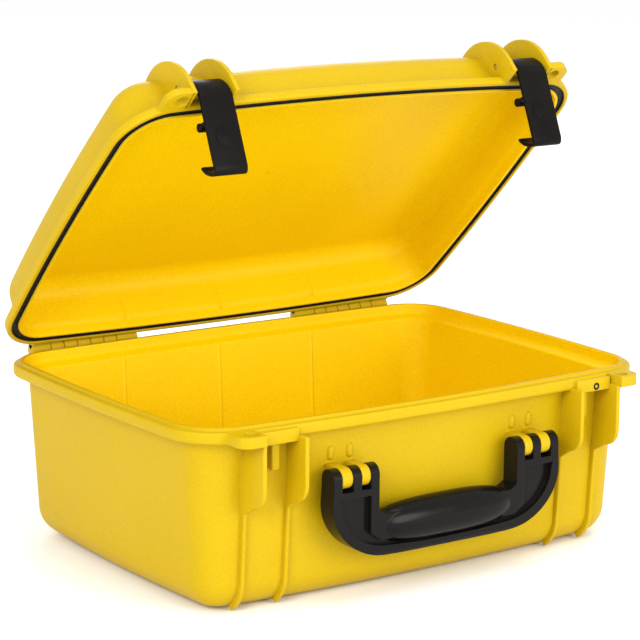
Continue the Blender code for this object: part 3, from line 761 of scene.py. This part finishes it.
def build():
    piece("base_body", joined([base_tub()] + base_details()), [YELLOW, YELLOW_INSIDE_PAINTED_LIGHTER], "base", ["base_shell"])
    piece("lid_body", joined([lid_dome()] + lid_details()), [YELLOW, YELLOW_INSIDE_PAINTED_LIGHTER], "lid", ["lid_shell"],
          OPEN_LID)
    piece("lid_seal_ring", seal_ring(), [RUBBER], "lid", ["lid_seal"], OPEN_LID)
    hang = (Matrix.Translation((0, LATCH_Y, LATCH_Z)) @ Matrix.Rotation(LID_OPEN - LATCH_TURN, 4, "X")
            @ Matrix.Translation((0, -LATCH_Y, -LATCH_Z)))
    for name, side in SIDES:
        piece(f"latch_body_{name}", latch(side * LATCH_X), [LATCH_BLACK], f"latch_{name}", [f"latch_{name}"],
              OPEN_LID @ hang)
        piece(f"latch_rod_{name}", pin_along(f"latch_pin_{name}", 0.0007), [STEEL], f"latch_pin_{name}",
              [f"latch_pin_{name}"])
        for kind in ("hinge", "handle"):
            node_name = f"{kind}_pin_{name}"
            piece(f"{kind}_rod_{name}", pin_along(node_name, 0.0008), [STEEL], "base", [node_name])
    piece("handle_body", joined([handle_bail(), grip()]), [BLACK], "handle", ["handle"], sharp=50)
    piece("vent_ring", vent_ring(), [RUBBER], "base", ["vent_seal"])
    piece("vent_cap", vent_cap(), [VENT_PALE], "base", ["vent_plug"])


# Floor, lights and camera


def floor():
    mesh = bpy.data.meshes.new("floor")
    bm = bmesh.new()
    bmesh.ops.create_grid(bm, x_segments=1, y_segments=1, size=30)
    bm.to_mesh(mesh)
    bm.free()
    obj = scratch("floor", mesh)
    obj.location.z = -0.0003
    made, _, shader = new_material("floor_paper")
    shader.inputs["Base Color"].default_value = (0.97, 0.97, 0.97, 1)
    shader.inputs["Roughness"].default_value = 0.9
    shader.inputs["Specular IOR Level"].default_value = 0.1
    mesh.materials.append(made)


def area_light(name, place, aim, size, power, colour=(1, 1, 1)):
    light = bpy.data.lights.new(name, "AREA")
    light.shape = "DISK"
    light.size, light.energy, light.color = size, power, colour
    obj = scratch(name, light)
    obj.location = place
    obj.rotation_euler = (Vector(aim) - Vector(place)).to_track_quat("-Z", "Y").to_euler()


def lights():
    world = bpy.data.worlds.new("studio")
    bpy.context.scene.world = world
    world.use_nodes = True
    background = world.node_tree.nodes["Background"]
    background.inputs["Color"].default_value = (1, 1, 1, 1)
    background.inputs["Strength"].default_value = 1.0
    area_light("key", (-2.0, -1.4, 1.3), (0, 0, 0.12), 1.2, 38)
    area_light("fill", (0.6, -2.3, 0.75), (0, 0, 0.16), 1.4, 30)
    area_light("top", (0.1, -0.7, 2.0), (0, 0, 0.1), 1.0, 7)
    area_light("back", (1.2, 2.1, 1.3), (0, 0, 0.12), 1.2, 14)


CAMERA_PLACE = (-0.93236, -1.33749, 0.49354)
CAMERA_AZIMUTH, CAMERA_ELEVATION, CAMERA_ROLL = (math.radians(a) for a in (-34.805, 11.883, 0.4206))
CAMERA_LENS = 138.09


def camera():
    cam = bpy.data.cameras.new("camera")
    cam.sensor_width = 36.0
    cam.lens = CAMERA_LENS
    cam.clip_start, cam.clip_end = 0.05, 50
    obj = scratch("camera", cam)
    turn = (Matrix.Rotation(CAMERA_AZIMUTH, 4, "Z") @ Matrix.Rotation(math.pi / 2 - CAMERA_ELEVATION, 4, "X")
            @ Matrix.Rotation(CAMERA_ROLL, 4, "Z"))
    obj.matrix_world = Matrix.Translation(CAMERA_PLACE) @ turn
    bpy.context.scene.camera = obj


build()
floor()
lights()
camera()
bpy.context.scene.view_settings.view_transform = "Standard"
